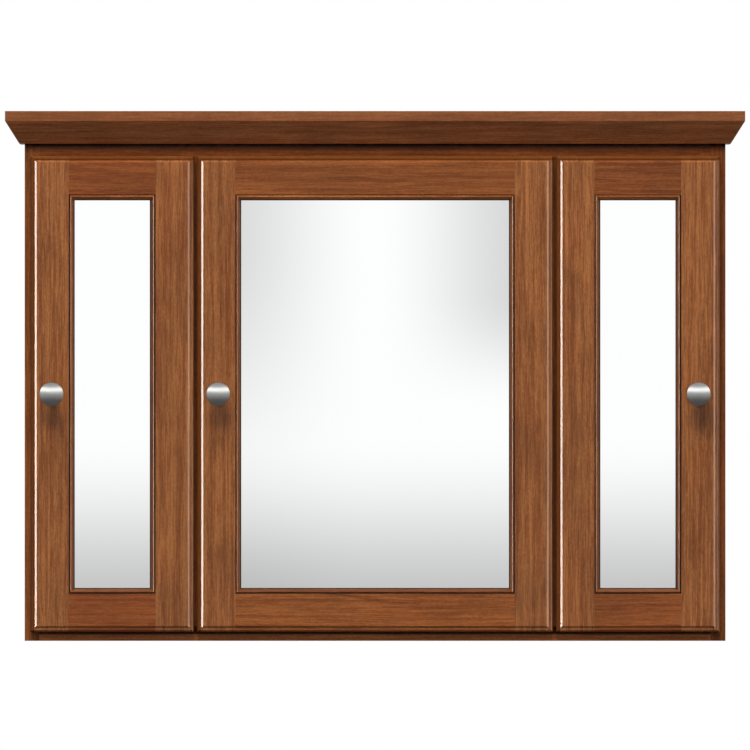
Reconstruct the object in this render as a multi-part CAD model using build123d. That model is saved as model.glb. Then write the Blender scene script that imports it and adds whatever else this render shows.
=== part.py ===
"""Three-door wall medicine cabinet with framed mirror doors and a mitred crown.

Millimetres. +X runs to the right of someone facing the doors, +Y into the wall and +Z up.
The origin is the middle of the four wall screws, on the wall plane.
"""

import os
from math import atan, degrees

from build123d import *

# ---- driving dimensions -------------------------------------------------------------------
CASE_WIDTH = 914.4
CASE_DEPTH = 139.7
CASE_HEIGHT = 679.0
BOARD = 19.05
BACK_THICKNESS = 6.35
HANGING_RAIL_THICKNESS = 12.7
UPPER_HANGING_RAIL_HEIGHT = 124.0
LOWER_HANGING_RAIL_HEIGHT = 76.2

DOOR_HEIGHT = 620.5
DOOR_BOTTOM = 11.7
DOOR_THICKNESS = 19.05
DOOR_STANDOFF = 2.0
DOOR_SIDE_REVEAL = 7.9
DOOR_TO_DOOR_GAP = 4.2
SIDE_DOOR_WIDTH = 213.0
OVERLAY = 7.4

CROWN_HEIGHT = 42.4
CROWN_OVERHANG = 25.4
CROWN_FASCIA = 13.0
CROWN_FOOT = 6.9
CROWN_BOTTOM = 648.7

FRAME_WIDTH = 50.0
BEAD_WIDTH = 7.6
BEAD_DEPTH = 8.0
EDGE_ROUND = 3.4
EDGE_STEP = 0.95
QUIRK_WIDTH = 1.0
QUIRK_DEPTH = 0.4
FACE_INSET = 5.6
ARRIS_WIDTH = 2.4
TENON_LENGTH = 25.4
TENON_THICKNESS = 6.35
TENON_SHOULDER = 8.0
MIRROR_THICKNESS = 4.0
BACKER_THICKNESS = 6.95
PANE_CLEARANCE = 0.5

SHELF_THICKNESS = 12.7
SHELF_FRONT_SETBACK = 6.0
SHELF_SIDE_CLEARANCE = 0.8
PIN_PITCH = 32.0
FIRST_PIN = 100.0
PIN_ROWS = 14
PIN_HOLE_RADIUS = 2.5
PIN_HOLE_DEPTH = 8.0
LOWER_SHELF_ROW = 3
UPPER_SHELF_ROW = 10

STUD_SPACING = 406.4
UPPER_SCREW_HEIGHT = 596.9
LOWER_SCREW_HEIGHT = 57.15
WALL_SCREW_HOLE_RADIUS = 2.75

KNOB_FROM_DOOR_EDGE = 27.5
KNOB_DOME_RADIUS = (14.6**2 + 4.2**2) / (2 * 4.2)
HINGE_FROM_DOOR_END = 88.9

# ---- sizes that follow from them ----------------------------------------------------------
HALF_WIDTH = CASE_WIDTH / 2
INNER_HALF_WIDTH = HALF_WIDTH - BOARD
BACK_FRONT = -(HANGING_RAIL_THICKNESS + BACK_THICKNESS)
FRONT = -CASE_DEPTH
DOOR_BACK = FRONT - DOOR_STANDOFF
DOOR_FRONT = DOOR_BACK - DOOR_THICKNESS
DOOR_TOP = DOOR_BOTTOM + DOOR_HEIGHT
DOOR_MIDDLE = (DOOR_BOTTOM + DOOR_TOP) / 2
TOP_PANEL_BOTTOM = DOOR_TOP - OVERLAY
SIDE_DOOR_OUTER = HALF_WIDTH - DOOR_SIDE_REVEAL
SIDE_DOOR_INNER = SIDE_DOOR_OUTER - SIDE_DOOR_WIDTH
CENTER_DOOR_EDGE = SIDE_DOOR_INNER - DOOR_TO_DOOR_GAP
PARTITION_CENTER = (SIDE_DOOR_INNER + CENTER_DOOR_EDGE) / 2
PARTITION_OUTER = PARTITION_CENTER + BOARD / 2
PARTITION_INNER = PARTITION_CENTER - BOARD / 2
SCREW_CENTER_HEIGHT = (UPPER_SCREW_HEIGHT + LOWER_SCREW_HEIGHT) / 2
PIN_COLUMNS = (BACK_FRONT - 26.0, FRONT + 32.0)

# ---- cup hinge, seen from above: u runs from the partition face into the bay, v out of the case ----
CUP_RADIUS = 17.5
CUP_WALL = 1.0
CUP_DEPTH = 11.9
CUP_CENTER_U = CUP_RADIUS + 5.0 - OVERLAY
ARM_PIVOT = (27.5, 9.8)
CUP_PIVOT = (3.46, 9.86)
PIVOT_PIN_RADIUS = 1.1
PIVOT_CLEARANCE = 0.06
LINK_HALF_WIDTH = 4.2
CHEEK_INNER = 4.4
CHEEK_OUTER = 5.8
ARM_HEEL = (7.2, -14.0)
PLATE_SCREW_V = -37.0
PLATE_SCREW_RISE = 16.0
CUP_SCREW_OFFSET = 9.5
CUP_SCREW_RISE = 22.5

os.makedirs("parts", exist_ok=True)
TO_ORIGIN = Location((0, 0, -SCREW_CENTER_HEIGHT))


def save(name, *shapes):
    """Writes one sub-part, moved from the case's bottom edge to the wall-screw origin."""
    solids = [TO_ORIGIN * solid for shape in shapes for solid in shape.solids()]
    export_step(solids[0] if len(solids) == 1 else Compound(solids), f"parts/{name}.step")


def block(x0, x1, y0, y1, z0, z1):
    """A box between two corners."""
    return Pos((x0 + x1) / 2, (y0 + y1) / 2, (z0 + z1) / 2) * Box(abs(x1 - x0), abs(y1 - y0), abs(z1 - z0))


def prism(plane, points, start, end):
    """A straight prism from an outline in a plane, between two heights over the plane."""
    outline = make_face(Polyline(*points, close=True))
    return extrude(plane.offset(start) * outline, amount=end - start)


def drill(radius, x, y, z, length, axis):
    """A round bar centred at a point, for holes, pins and screws. Axis is X, Y or Z."""
    turn = {"X": Rot(0, 90, 0), "Y": Rot(90, 0, 0), "Z": Rot(0, 0, 0)}[axis]
    return Pos(x, y, z) * turn * Cylinder(radius, length)


# ---- case ---------------------------------------------------------------------------------
def pin_height(row):
    return FIRST_PIN + row * PIN_PITCH


def pin_holes(face_x, into):
    """The two columns of shelf-pin holes in a board face; into is +1 or -1 along X."""
    return [
        drill(PIN_HOLE_RADIUS, face_x + into * PIN_HOLE_DEPTH / 2, y, pin_height(row), PIN_HOLE_DEPTH, "X")
        for row in range(PIN_ROWS)
        for y in PIN_COLUMNS
    ]


def wall_screw_holes(y0, y1):
    return [
        drill(WALL_SCREW_HOLE_RADIUS, side * STUD_SPACING / 2, (y0 + y1) / 2, z, abs(y1 - y0) + 1, "Y")
        for side in (-1, 1)
        for z in (UPPER_SCREW_HEIGHT, LOWER_SCREW_HEIGHT)
    ]


def plate_screw_holes(face_x, into):
    return [
        drill(2.5, face_x + into * 4.5, FRONT - PLATE_SCREW_V, z + rise, 9.0, "X")
        for z in hinge_heights()
        for rise in (-PLATE_SCREW_RISE, PLATE_SCREW_RISE)
    ]


def hinge_heights():
    return (DOOR_BOTTOM + HINGE_FROM_DOOR_END, DOOR_TOP - HINGE_FROM_DOOR_END)


def build_case():
    side = block(INNER_HALF_WIDTH, HALF_WIDTH, FRONT, 0, 0, CASE_HEIGHT)
    right_side = side - pin_holes(INNER_HALF_WIDTH, 1)
    save("right_side_panel", right_side)
    save("left_side_panel", mirror(right_side, about=Plane.YZ))

    divider = block(PARTITION_INNER, PARTITION_OUTER, FRONT, BACK_FRONT, BOARD, TOP_PANEL_BOTTOM)
    divider -= pin_holes(PARTITION_OUTER, -1) + pin_holes(PARTITION_INNER, 1)
    outer_hinge = plate_screw_holes(PARTITION_OUTER, -1)
    save("right_partition", divider - (outer_hinge + plate_screw_holes(PARTITION_INNER, 1)))
    save("left_partition", mirror(divider - outer_hinge, about=Plane.YZ))

    inside = (-INNER_HALF_WIDTH, INNER_HALF_WIDTH)
    save("bottom_panel", block(*inside, FRONT, 0, 0, BOARD))
    top_front = FRONT + BOARD
    top_span = (TOP_PANEL_BOTTOM, TOP_PANEL_BOTTOM + BOARD)
    save("top_panel", block(*inside, top_front, BACK_FRONT, *top_span))
    save("top_rail", block(*inside, FRONT, top_front, TOP_PANEL_BOTTOM, CASE_HEIGHT))

    back_span = (BACK_FRONT, -HANGING_RAIL_THICKNESS)
    save("back_panel", block(*inside, *back_span, BOARD, CASE_HEIGHT) - wall_screw_holes(*back_span))
    holes = wall_screw_holes(-HANGING_RAIL_THICKNESS, 0)
    rails = {
        "upper_hanging_rail": (CASE_HEIGHT - UPPER_HANGING_RAIL_HEIGHT, CASE_HEIGHT),
        "lower_hanging_rail": (BOARD, BOARD + LOWER_HANGING_RAIL_HEIGHT),
    }
    for name, (low, high) in rails.items():
        save(name, block(*inside, -HANGING_RAIL_THICKNESS, 0, low, high) - holes)


def build_crown():
    """Three lengths of moulding, mitred at the two front corners."""
    top = CROWN_BOTTOM + CROWN_HEIGHT
    fascia_bottom = top - CROWN_FASCIA
    section = [
        (0, CROWN_BOTTOM),
        (CROWN_FOOT, CROWN_BOTTOM),
        (CROWN_OVERHANG, fascia_bottom),
        (CROWN_OVERHANG, top),
        (0, top),
    ]
    reach_x = HALF_WIDTH + CROWN_OVERHANG
    reach_y = FRONT - CROWN_OVERHANG
    front_stock = prism(Plane.YZ, [(FRONT - out, z) for out, z in section], -reach_x, reach_x)
    front_plan = [(-HALF_WIDTH, FRONT), (HALF_WIDTH, FRONT), (reach_x, reach_y), (-reach_x, reach_y)]
    save("crown_front", front_stock & prism(Plane.XY, front_plan, CROWN_BOTTOM, top))
    return_stock = prism(Plane.XZ, [(HALF_WIDTH + out, z) for out, z in section], 0, -reach_y)
    return_plan = [(HALF_WIDTH, FRONT), (reach_x, reach_y), (reach_x, 0), (HALF_WIDTH, 0)]
    right_return = return_stock & prism(Plane.XY, return_plan, CROWN_BOTTOM, top)
    save("crown_right_return", right_return)
    save("crown_left_return", mirror(right_return, about=Plane.YZ))


# ---- shelves ------------------------------------------------------------------------------
def shelf_pin(face_x, into_bay, y, z):
    """A shelf pin: shank in the board, collar against it and a rest under the shelf."""
    shank = drill(PIN_HOLE_RADIUS - 0.05, face_x - into_bay * 3.75, y, z, 7.5, "X")
    collar = drill(3.6, face_x + into_bay * 0.35, y, z, 0.7, "X")
    rest = drill(PIN_HOLE_RADIUS, face_x + into_bay * 4.0, y, z, 8.0, "X")
    return shank + collar + rest


def build_shelves():
    bays = {
        "left": (-INNER_HALF_WIDTH, -PARTITION_OUTER),
        "center": (-PARTITION_INNER, PARTITION_INNER),
        "right": (PARTITION_OUTER, INNER_HALF_WIDTH),
    }
    pins = []
    for bay, (low_x, high_x) in bays.items():
        for level, row in (("lower", LOWER_SHELF_ROW), ("upper", UPPER_SHELF_ROW)):
            rest = pin_height(row) + PIN_HOLE_RADIUS
            shelf = block(
                low_x + SHELF_SIDE_CLEARANCE,
                high_x - SHELF_SIDE_CLEARANCE,
                FRONT + SHELF_FRONT_SETBACK,
                BACK_FRONT - 1.0,
                rest,
                rest + SHELF_THICKNESS,
            )
            nose = shelf.edges().filter_by(Axis.X).sort_by(Axis.Y)[:2]
            save(f"{bay}_{level}_shelf", fillet(nose, 2.0))
            for y in PIN_COLUMNS:
                pins.append(shelf_pin(low_x, 1, y, pin_height(row)))
                pins.append(shelf_pin(high_x, -1, y, pin_height(row)))
    save("shelf_pins", *pins)


# ---- doors --------------------------------------------------------------------------------
def door_envelope(x0, x1):
    """The whole door's outside: a rounded edge, a narrow quirk and a raised face with a sloped arris."""

    def slab(inset, y0, y1):
        return block(x0 + inset, x1 - inset, y0, y1, DOOR_BOTTOM + inset, DOOR_TOP - inset)

    step_y = DOOR_FRONT + EDGE_STEP
    body = slab(0, DOOR_BACK, step_y)
    rounded = fillet(body.faces().sort_by(Axis.Y)[0].edges(), EDGE_ROUND)
    quirk = slab(FACE_INSET - QUIRK_WIDTH, step_y - 1, step_y + QUIRK_DEPTH)
    quirk -= slab(FACE_INSET, step_y - 2, step_y + 2)
    foot = Pos((x0 + x1) / 2, step_y, DOOR_MIDDLE) * Rot(90, 0, 0)
    width, height = x1 - x0 - 2 * FACE_INSET, DOOR_HEIGHT - 2 * FACE_INSET
    lean = degrees(atan(ARRIS_WIDTH / EDGE_STEP))
    return rounded - quirk + foot * extrude(Rectangle(width, height), EDGE_STEP, taper=lean)


def tenon(x_shoulder, toward, z0, z1, clearance):
    """A rail's tenon, or with clearance the mortise that takes it."""
    middle = DOOR_BACK - DOOR_THICKNESS / 2
    half = TENON_THICKNESS / 2 + clearance
    tip = x_shoulder + toward * (TENON_LENGTH + 2 * clearance)
    low = z0 + TENON_SHOULDER - clearance
    high = z1 - TENON_SHOULDER + clearance
    return block(min(x_shoulder, tip), max(x_shoulder, tip), middle - half, middle + half, low, high)


def bead_section():
    """Bead outline: distance in from the frame edge, and depth behind the door's face."""
    return [
        (0.0, BEAD_DEPTH),
        (0.0, 1.4),
        (0.8, 1.4),
        (1.1, 0.7),
        (1.8, 0.2),
        (2.7, 0.3),
        (3.4, 0.9),
        (3.9, 2.0),
        (4.4, 3.0),
        (5.2, 4.2),
        (6.2, 5.0),
        (BEAD_WIDTH, 5.4),
        (BEAD_WIDTH, BEAD_DEPTH),
    ]


def bead_stick(length):
    """One mitred bead along X, its outer edge on y = 0 and its back on z = 0, centred in x."""
    half = length / 2
    stock = prism(Plane.YZ, [(d, BEAD_DEPTH - depth) for d, depth in bead_section()], -half, half)
    plan = [(-half, 0), (half, 0), (half - BEAD_WIDTH, BEAD_WIDTH), (-half + BEAD_WIDTH, BEAD_WIDTH)]
    return stock & prism(Plane.XY, plan, 0, BEAD_DEPTH)


def bead_ring(x0, x1, z0, z1):
    """Four sticks round an opening, turned so that their backs lie on the mirror."""
    stand = Rot(90, 0, 0)
    middle_x, middle_z = (x0 + x1) / 2, (z0 + z1) / 2
    back_y = DOOR_FRONT + BEAD_DEPTH
    across, upright = bead_stick(x1 - x0), bead_stick(z1 - z0)
    return [
        Pos(middle_x, back_y, z0) * stand * across,
        Pos(middle_x, back_y, z1) * Rot(0, 180, 0) * stand * across,
        Pos(x0, back_y, middle_z) * Rot(0, 90, 0) * stand * upright,
        Pos(x1, back_y, middle_z) * Rot(0, -90, 0) * stand * upright,
    ]


def knob(x, z):
    """A mushroom knob turned about its stem, with a blind screw hole from the back."""
    stem = [(2.0, 0.0), (7.0, 0.0), (7.0, 1.6), (5.4, 3.0), (4.9, 6.0), (5.2, 9.5), (7.5, 12.2)]
    outline = [
        Polyline(*stem, (11.5, 13.8), (14.8, 15.4)),
        ThreePointArc((14.8, 15.4), (15.5, 16.8), (14.6, 18.4)),
        RadiusArc((14.6, 18.4), (0.0, 22.6), -KNOB_DOME_RADIUS),
        Polyline((0.0, 22.6), (0.0, 12.0), (2.0, 12.0), (2.0, 0.0)),
    ]
    turned = revolve(make_face(outline), Axis.Y)
    return Pos(x, DOOR_FRONT, z) * Rot(180, 0, 0) * turned


def clip_places(x0, x1):
    """Where the backer clips sit: (x, z, direction from the frame onto the backer)."""
    left, right = x0 + FRAME_WIDTH, x1 - FRAME_WIDTH
    middle_x = (x0 + x1) / 2
    heights = (DOOR_MIDDLE - 165.0, DOOR_MIDDLE, DOOR_MIDDLE + 165.0)
    uprights = [(x, z, (toward, 0)) for z in heights for x, toward in ((left, 1), (right, -1))]
    low, high = DOOR_BOTTOM + FRAME_WIDTH, DOOR_TOP - FRAME_WIDTH
    return uprights + [(middle_x, low, (0, 1)), (middle_x, high, (0, -1))]


def build_door(name, x0, x1, knob_x, hinge_sign, hinge_face):
    """One door. hinge_sign is +1 where the bay lies to the right of its hinge partition."""
    inner_x0, inner_x1 = x0 + FRAME_WIDTH, x1 - FRAME_WIDTH
    inner_z0, inner_z1 = DOOR_BOTTOM + FRAME_WIDTH, DOOR_TOP - FRAME_WIDTH
    envelope = door_envelope(x0, x1)
    rail_spans = {"bottom": (DOOR_BOTTOM, inner_z0), "top": (inner_z1, DOOR_TOP)}
    mortises = [
        tenon(shoulder, toward, *span, 0.1)
        for span in rail_spans.values()
        for shoulder, toward in ((inner_x0, -1), (inner_x1, 1))
    ]
    door_middle_y = DOOR_BACK - DOOR_THICKNESS / 2
    knob_screw_hole = drill(2.2, knob_x, door_middle_y, DOOR_MIDDLE, DOOR_THICKNESS + 1, "Y")
    frames = [hinge_frame(hinge_sign, hinge_face, z) for z in hinge_heights()]
    bores = [frame * bore for frame in frames for bore in cup_bore()]
    clip_holes = [clip_screw(x, z, to, 1.2, 6.0) for x, z, to in clip_places(x0, x1)]
    cuts = mortises + bores + [knob_screw_hole] + clip_holes
    depth = (DOOR_BACK + 1, DOOR_FRONT - 1)
    stiles = {"left_stile": (x0, inner_x0), "right_stile": (inner_x1, x1)}
    for member, (low, high) in stiles.items():
        save(f"{name}_{member}", (block(low, high, *depth, DOOR_BOTTOM, DOOR_TOP) & envelope) - cuts)
    for member, span in rail_spans.items():
        rail = block(inner_x0, inner_x1, *depth, *span) & envelope
        rail = rail + tenon(inner_x0, -1, *span, 0) + tenon(inner_x1, 1, *span, 0)
        save(f"{name}_{member}_rail", rail - clip_holes)

    save(f"{name}_mirror_bead", *bead_ring(inner_x0, inner_x1, inner_z0, inner_z1))
    c = PANE_CLEARANCE
    pane_front = DOOR_FRONT + BEAD_DEPTH
    pane_back = pane_front + MIRROR_THICKNESS
    backer_back = pane_back + BACKER_THICKNESS
    for layer, span in {"mirror": (pane_front, pane_back), "backer": (pane_back, backer_back)}.items():
        save(f"{name}_{layer}", block(inner_x0 + c, inner_x1 - c, *span, inner_z0 + c, inner_z1 - c))
    save(f"{name}_backer_clips", *[clip(x, z, to) for x, z, to in clip_places(x0, x1)])
    save(f"{name}_knob", knob(knob_x, DOOR_MIDDLE))
    save(f"{name}_hinge_cups", *[frame * hinge_cup() for frame in frames])
    screws = [
        clip_screw(x, z, to, 1.2, 6.0) + clip_screw_head(x, z, to) for x, z, to in clip_places(x0, x1)
    ]
    screws += [frame * cup_screw(rise) for frame in frames for rise in (-CUP_SCREW_RISE, CUP_SCREW_RISE)]
    save(f"{name}_screws", knob_screw(knob_x), *screws)


def clip(x, z, to):
    """A flat steel clip screwed to the frame's back, reaching over the backer."""
    along = 9.0
    reach = 8.0
    half = 5.0
    x0, x1 = sorted((x - to[0] * along, x + to[0] * reach)) if to[0] else (x - half, x + half)
    z0, z1 = sorted((z - to[1] * along, z + to[1] * reach)) if to[1] else (z - half, z + half)
    plate = block(x0, x1, DOOR_BACK, DOOR_BACK + 1.0, z0, z1)
    return plate - clip_screw(x, z, to, 1.3, 6.0)


def clip_screw(x, z, to, radius, length):
    """The shank of a clip's screw, from the clip's outer face into the frame."""
    middle_y = DOOR_BACK + 1.0 - (length + 1.0) / 2
    return drill(radius, x - to[0] * 4.5, middle_y, z - to[1] * 4.5, length + 1.0, "Y")


def clip_screw_head(x, z, to):
    return drill(2.6, x - to[0] * 4.5, DOOR_BACK + 1.4, z - to[1] * 4.5, 0.8, "Y")


def knob_screw(x):
    shank = drill(1.95, x, DOOR_BACK - 14.0, DOOR_MIDDLE, 28.0, "Y")
    head = drill(4.2, x, DOOR_BACK + 0.8, DOOR_MIDDLE, 1.6, "Y")
    return shank + head


# ---- cup hinges ---------------------------------------------------------------------------
def hinge_frame(sign, face_x, z):
    """Places a hinge part drawn with u along X and v along -Y at a partition face."""
    return Pos(face_x, FRONT, z) * Rot(0, 0 if sign > 0 else 180, 0)


def lever(start, end, start_radius, end_radius, half_width, waist=1.0):
    """Two round eyes joined by a flat bar, drawn in the u, v plane and centred in z.

    waist is the bar's thickness as a share of its eyes' diameters.
    """
    (u0, v0), (u1, v1) = start, end
    eyes = [Pos(u0, -v0, 0) * Circle(start_radius), Pos(u1, -v1, 0) * Circle(end_radius)]
    length = ((u1 - u0) ** 2 + (v1 - v0) ** 2) ** 0.5
    normal = ((v1 - v0) / length, (u1 - u0) / length)
    near, far = start_radius * waist, end_radius * waist
    corners = [
        (u0 + normal[0] * near, -v0 + normal[1] * near),
        (u1 + normal[0] * far, -v1 + normal[1] * far),
        (u1 - normal[0] * far, -v1 - normal[1] * far),
        (u0 - normal[0] * near, -v0 - normal[1] * near),
    ]
    outline = make_face(Polyline(*corners, close=True)) + eyes
    return extrude(outline, amount=half_width, both=True)


def at_uv(point, radius, half_width):
    """A round bar along z through a point of the u, v plane."""
    return drill(radius, point[0], -point[1], 0, 2 * half_width, "Z")


def cup_bore():
    depth = CUP_DEPTH + 0.1
    bore = drill(CUP_RADIUS + 0.05, CUP_CENTER_U, -DOOR_STANDOFF - depth / 2, 0, depth, "Y")
    return [bore] + [cup_screw_shank(rise) for rise in (-CUP_SCREW_RISE, CUP_SCREW_RISE)]


def cup_screw_shank(rise):
    return drill(1.6, CUP_CENTER_U + CUP_SCREW_OFFSET, -DOOR_STANDOFF - 5.0, rise, 10.0, "Y")


def cup_screw(rise):
    head = drill(3.6, CUP_CENTER_U + CUP_SCREW_OFFSET, -DOOR_STANDOFF + 1.2, rise, 0.8, "Y")
    neck = drill(1.6, CUP_CENTER_U + CUP_SCREW_OFFSET, -DOOR_STANDOFF + 0.4, rise, 0.8, "Y")
    return cup_screw_shank(rise) + neck + head


def hinge_cup():
    """A pressed cup with its flange on the door's back and two lugs for the link's pin."""
    flange = 0.8
    back = -DOOR_STANDOFF
    shell = drill(CUP_RADIUS, CUP_CENTER_U, back - CUP_DEPTH / 2, 0, CUP_DEPTH, "Y")
    rim = drill(CUP_RADIUS + 0.8, CUP_CENTER_U, back + flange / 2, 0, flange, "Y")
    ear = block(
        CUP_CENTER_U + 3, CUP_CENTER_U + 15, back, back + flange, -CUP_SCREW_RISE - 6, CUP_SCREW_RISE + 6
    )
    solid = shell + rim + fillet(ear.edges().filter_by(Axis.Y), 4.0)
    hollow_depth = CUP_DEPTH - CUP_WALL + flange
    hollow_middle = back + flange - hollow_depth / 2
    solid -= drill(CUP_RADIUS - CUP_WALL, CUP_CENTER_U, hollow_middle, 0, hollow_depth, "Y")
    u, v = CUP_PIVOT
    floor_v = DOOR_STANDOFF + CUP_DEPTH - CUP_WALL
    for side in (-1, 1):
        z0, z1 = sorted((side * (LINK_HALF_WIDTH + 0.3), side * (LINK_HALF_WIDTH + 2.3)))
        solid += block(u - 2.4, u + 2.4, -(floor_v + 0.4), -v, z0, z1)
        solid += Pos(0, 0, (z0 + z1) / 2) * at_uv(CUP_PIVOT, 2.4, 1.0)
    solid -= at_uv(CUP_PIVOT, PIVOT_PIN_RADIUS + PIVOT_CLEARANCE, 8.0)
    for rise in (-CUP_SCREW_RISE, CUP_SCREW_RISE):
        solid -= drill(1.7, CUP_CENTER_U + CUP_SCREW_OFFSET, back + flange / 2, rise, flange + 1, "Y")
    return solid


def hinge_link():
    """The link with its two pins: they turn with it in the arm's cheeks and the cup's lugs."""
    link = lever(ARM_PIVOT, CUP_PIVOT, 2.4, 2.3, LINK_HALF_WIDTH, waist=0.7)
    window = lever((22.0, 9.8), (9.0, 9.8), 3.0, 3.0, LINK_HALF_WIDTH - 2.0)
    link -= window
    pins = [
        at_uv(ARM_PIVOT, PIVOT_PIN_RADIUS, CHEEK_OUTER),
        at_uv(CUP_PIVOT, PIVOT_PIN_RADIUS, LINK_HALF_WIDTH + 2.3),
    ]
    link -= [at_uv(ARM_PIVOT, PIVOT_PIN_RADIUS, 10.0), at_uv(CUP_PIVOT, PIVOT_PIN_RADIUS, 10.0)]
    return [link] + pins


def hinge_arm():
    """The arm along the partition, its forked nose reaching to the far side of the cup."""
    u, v = ARM_HEEL
    bar = block(5.6, 11.2, -v + 2.0, 62.0, -CHEEK_OUTER, CHEEK_OUTER)
    nose = lever((8.4, -16.5), ARM_PIVOT, 2.8, 2.4, CHEEK_OUTER)
    slot_start = (8.4 + (ARM_PIVOT[0] - 8.4) * 0.55, -16.5 + (ARM_PIVOT[1] + 16.5) * 0.55)
    slot = lever(slot_start, (ARM_PIVOT[0] + 4, ARM_PIVOT[1] + 5), 5.0, 6.0, CHEEK_INNER)
    arm = bar + nose - slot
    arm -= at_uv(ARM_PIVOT, PIVOT_PIN_RADIUS + PIVOT_CLEARANCE, 10.0)
    for _, radius, screw_v, _ in arm_screws():
        arm -= drill(radius + 0.05, 8.0, -screw_v, 0, 12.0, "X")
    return arm


def arm_screws():
    """(name, shank radius, v, length) of the screws through the arm into its plate."""
    return [("clamp", 2.0, -53.0, 6.0), ("side adjuster", 1.8, -28.0, 6.0)]


def mounting_plate():
    """A cross-shaped plate on the partition, its raised spine under the arm."""
    wing_rise = PLATE_SCREW_RISE + 8
    wing = block(0, 1.6, -PLATE_SCREW_V - 8, -PLATE_SCREW_V + 8, -wing_rise, wing_rise)
    wing = fillet(wing.edges().filter_by(Axis.X), 5.0)
    spine = block(0, 5.6, 22.0, 62.0, -CHEEK_OUTER - 0.8, CHEEK_OUTER + 0.8)
    plate = wing + fillet(spine.edges().filter_by(Axis.X), 2.0)
    for rise in (-PLATE_SCREW_RISE, PLATE_SCREW_RISE):
        plate -= drill(2.5, 0, -PLATE_SCREW_V, rise, 8.0, "X")
    for _, radius, screw_v, _ in arm_screws():
        plate -= drill(radius + 0.05, 4.0, -screw_v, 0, 5.0, "X")
    return plate


def hinge_case_screws():
    """Two system screws in the partition, and the arm's clamping and adjusting screws."""
    screws = []
    for rise in (-PLATE_SCREW_RISE, PLATE_SCREW_RISE):
        shank = drill(2.45, -3.6, -PLATE_SCREW_V, rise, 10.4, "X")
        head = drill(4.2, 2.4, -PLATE_SCREW_V, rise, 1.6, "X")
        screws.append(shank + head - drill(1.6, 3.0, -PLATE_SCREW_V, rise, 1.4, "X"))
    for _, radius, screw_v, _ in arm_screws():
        shank = drill(radius, 7.0, -screw_v, 0, 8.4, "X")
        head = drill(radius + 1.6, 11.9, -screw_v, 0, 1.4, "X")
        screws.append(shank + head - drill(1.3, 12.4, -screw_v, 0, 1.0, "X"))
    return screws


def build_hinges(doors):
    plates, arms, screws = [], [], []
    for name, _, _, _, sign, face_x in doors:
        links = []
        for z in hinge_heights():
            frame = hinge_frame(sign, face_x, z)
            plates.append(frame * mounting_plate())
            arms.append(frame * hinge_arm())
            screws += [frame * screw for screw in hinge_case_screws()]
            links += [frame * piece for piece in hinge_link()]
        save(f"{name}_hinge_links", *links)
    save("hinge_mounting_plates", *plates)
    save("hinge_arms", *arms)
    save("hinge_screws", *screws)


def build_bumpers():
    """Soft dots on the case front, under the free corners of each door."""
    thickness = 1.9
    places = (-(SIDE_DOOR_OUTER + INNER_HALF_WIDTH) / 2, -(CENTER_DOOR_EDGE + PARTITION_INNER) / 2)
    places += (-places[0],)
    dots = [
        drill(3.2, x, FRONT - thickness / 2, z, thickness, "Y")
        for x in places
        for z in (DOOR_BOTTOM + 30.0, DOOR_TOP - 30.0)
    ]
    save("door_bumpers", *dots)


DOORS = [
    # name, left edge, right edge, knob x, side of the partition that the bay is on, partition face
    (
        "left_door",
        -SIDE_DOOR_OUTER,
        -SIDE_DOOR_INNER,
        -SIDE_DOOR_OUTER + KNOB_FROM_DOOR_EDGE,
        -1,
        -PARTITION_OUTER,
    ),
    (
        "center_door",
        -CENTER_DOOR_EDGE,
        CENTER_DOOR_EDGE,
        -CENTER_DOOR_EDGE + KNOB_FROM_DOOR_EDGE,
        -1,
        PARTITION_INNER,
    ),
    (
        "right_door",
        SIDE_DOOR_INNER,
        SIDE_DOOR_OUTER,
        SIDE_DOOR_OUTER - KNOB_FROM_DOOR_EDGE,
        1,
        PARTITION_OUTER,
    ),
]

build_case()
build_crown()
build_shelves()
for door in DOORS:
    build_door(*door)
build_hinges(DOORS)
build_bumpers()
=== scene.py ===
"""Finishes and fine shapes of a three-door wall medicine cabinet in stained wood.

Metres, in the cabinet's own frame: +X to the right of someone facing the doors, +Y into
the wall, +Z up, with the origin between the four wall screws.
"""

import logging
import math
import random
from dataclasses import dataclass, field
from enum import Enum
from typing import Optional, Sequence, Union

import bmesh
import bpy
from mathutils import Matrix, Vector

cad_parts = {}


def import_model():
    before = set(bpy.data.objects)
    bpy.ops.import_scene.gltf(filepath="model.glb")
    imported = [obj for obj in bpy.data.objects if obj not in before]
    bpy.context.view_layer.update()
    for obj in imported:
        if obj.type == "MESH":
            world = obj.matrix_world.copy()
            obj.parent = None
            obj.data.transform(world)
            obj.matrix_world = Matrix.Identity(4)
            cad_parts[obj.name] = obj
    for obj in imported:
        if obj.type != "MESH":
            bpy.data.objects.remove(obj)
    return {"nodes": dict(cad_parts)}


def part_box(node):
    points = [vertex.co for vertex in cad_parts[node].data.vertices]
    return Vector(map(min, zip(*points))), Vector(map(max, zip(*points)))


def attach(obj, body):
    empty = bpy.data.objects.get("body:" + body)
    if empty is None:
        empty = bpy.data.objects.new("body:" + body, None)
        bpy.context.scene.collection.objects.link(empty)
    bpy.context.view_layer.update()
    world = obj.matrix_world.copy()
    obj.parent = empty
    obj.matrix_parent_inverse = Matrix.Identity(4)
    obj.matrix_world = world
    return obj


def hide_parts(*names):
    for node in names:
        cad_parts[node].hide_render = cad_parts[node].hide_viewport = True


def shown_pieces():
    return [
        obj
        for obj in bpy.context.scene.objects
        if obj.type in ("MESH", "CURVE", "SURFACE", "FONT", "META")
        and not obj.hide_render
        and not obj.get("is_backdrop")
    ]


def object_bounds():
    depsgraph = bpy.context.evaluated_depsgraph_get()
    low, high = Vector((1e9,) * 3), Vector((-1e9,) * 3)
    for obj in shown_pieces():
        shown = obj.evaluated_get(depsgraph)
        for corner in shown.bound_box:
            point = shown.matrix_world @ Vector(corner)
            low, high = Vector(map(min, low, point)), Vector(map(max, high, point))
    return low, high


LOG = logging.getLogger("medicine_cabinet")
MM = 0.001
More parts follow.
